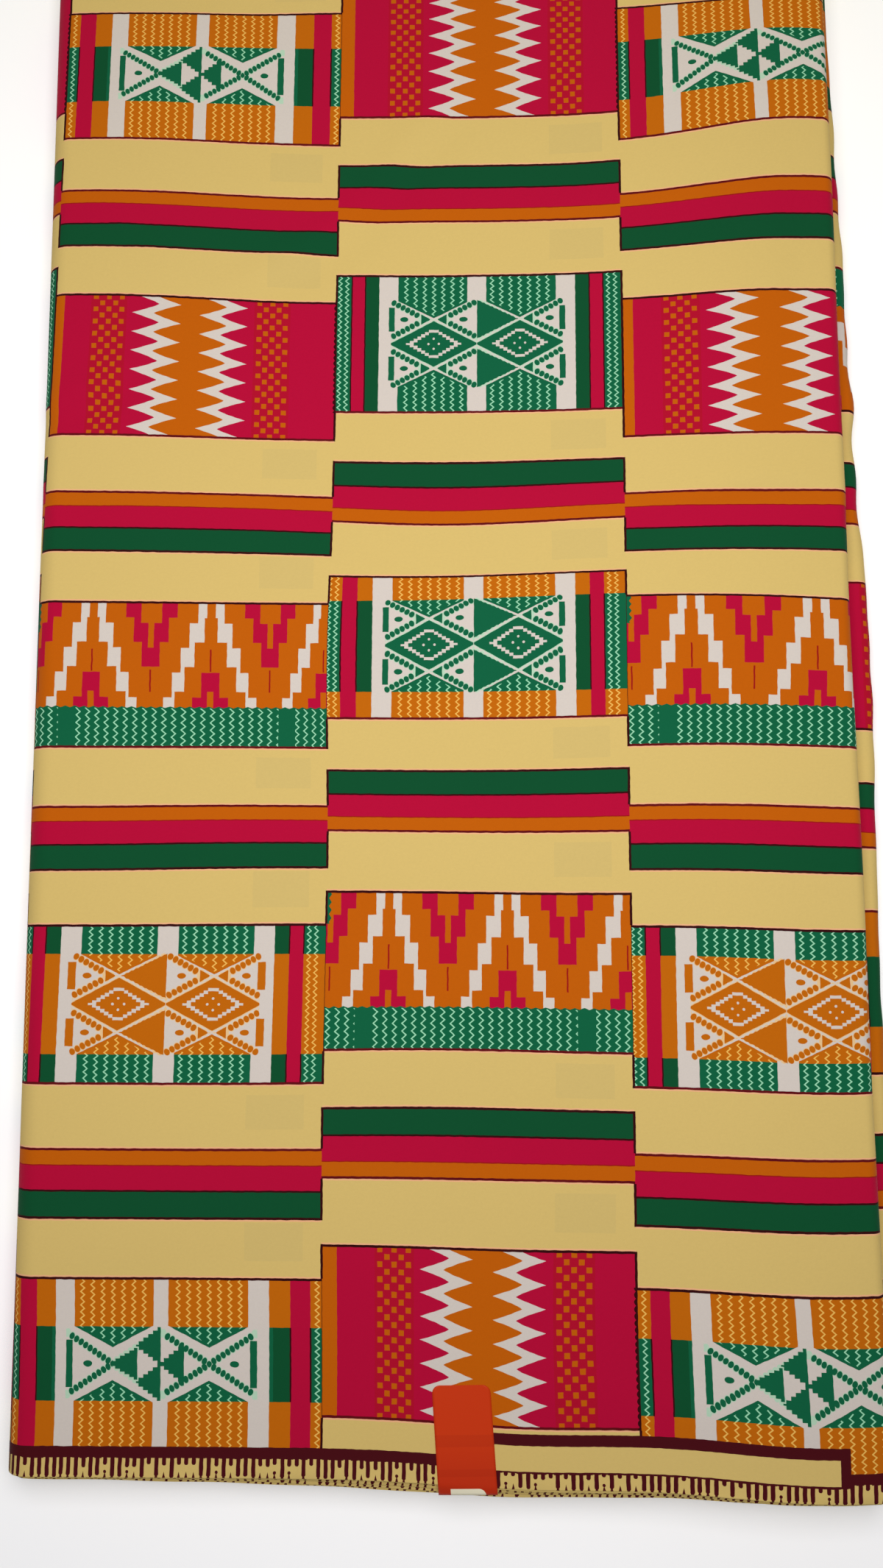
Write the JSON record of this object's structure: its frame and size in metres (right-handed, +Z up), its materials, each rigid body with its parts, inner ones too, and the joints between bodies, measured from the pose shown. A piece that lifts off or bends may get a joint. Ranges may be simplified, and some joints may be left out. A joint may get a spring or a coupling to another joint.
{
  "type": "folded wax print fabric",
  "caption": "Length of kente-patterned wax print cotton folded into a flat rectangular stack, with selvedges at one end, a cross fold at the other and a blank sticker",
  "frame": {"origin": "centre of the bounding box at the underside, on the surface it rests on", "axes": "+X to the right across the stack, +Y from the selvedges towards the cross fold, +Z up"},
  "size_m": [0.3188, 0.5986, 0.0224],
  "materials": {
    "printed_cotton": "plain-weave cotton with a light wax sheen, printed in cream, crimson, orange, green and maroon",
    "printed_cotton_edges": "stacked cotton edges, selvedge comb print and folded plies",
    "label_paper": "orange-red coated paper sticker with a pale foil patch"
  },
  "bodies": {
    "root": {"outer_ply": "printed_cotton", "inner_layers": "printed_cotton_edges", "label": "label_paper"}
  },
  "joints": []
}
